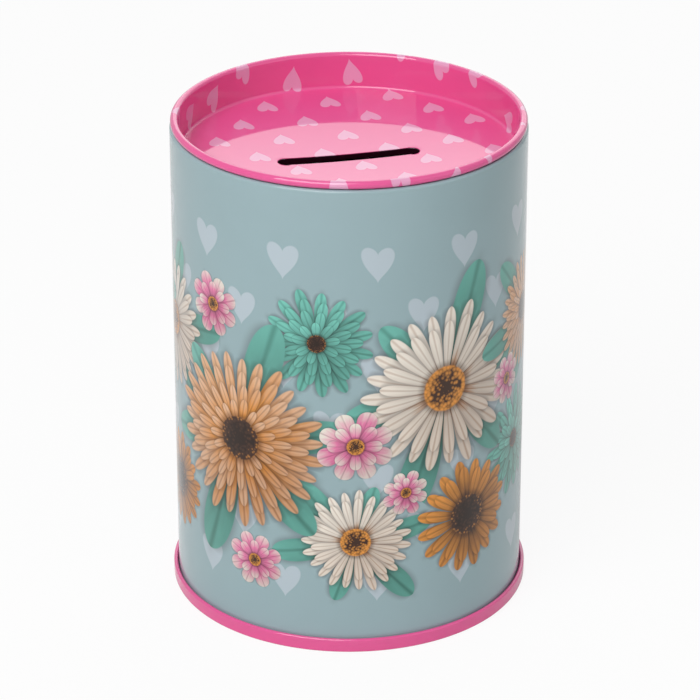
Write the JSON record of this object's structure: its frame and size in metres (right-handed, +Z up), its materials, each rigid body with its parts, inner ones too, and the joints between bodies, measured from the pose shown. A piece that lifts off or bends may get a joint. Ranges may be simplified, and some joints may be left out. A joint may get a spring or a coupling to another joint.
{
  "type": "tin money box",
  "caption": "Round tinplate money box: a rolled wall with a seamed, recessed base and a lift-off plug lid whose dished floor is pierced by a coin slot.",
  "frame": {"origin": "centre of the foot ring, on the plane that the box rests on", "axes": "+Z up along the box's axis, +X along the coin slot, -Y the front, lock seam at the back on +Y"},
  "size_m": [0.0864, 0.0864, 0.12],
  "materials": {
    "printed_wall": "varnished print on tinplate, bare tinplate inside",
    "pink_base": "varnished pink on tinplate",
    "pink_lid": "varnished pink print on tinplate"
  },
  "bodies": {
    "tin": {"body_shell": "printed_wall", "base_plate": "pink_base"},
    "lid": {"plug_lid": "pink_lid"}
  },
  "joints": [
    {"name": "lid_lift", "type": "slide", "parent": "tin", "child": "lid", "axis": [0, 0, 1], "range_m": [0, 0.05]}
  ]
}
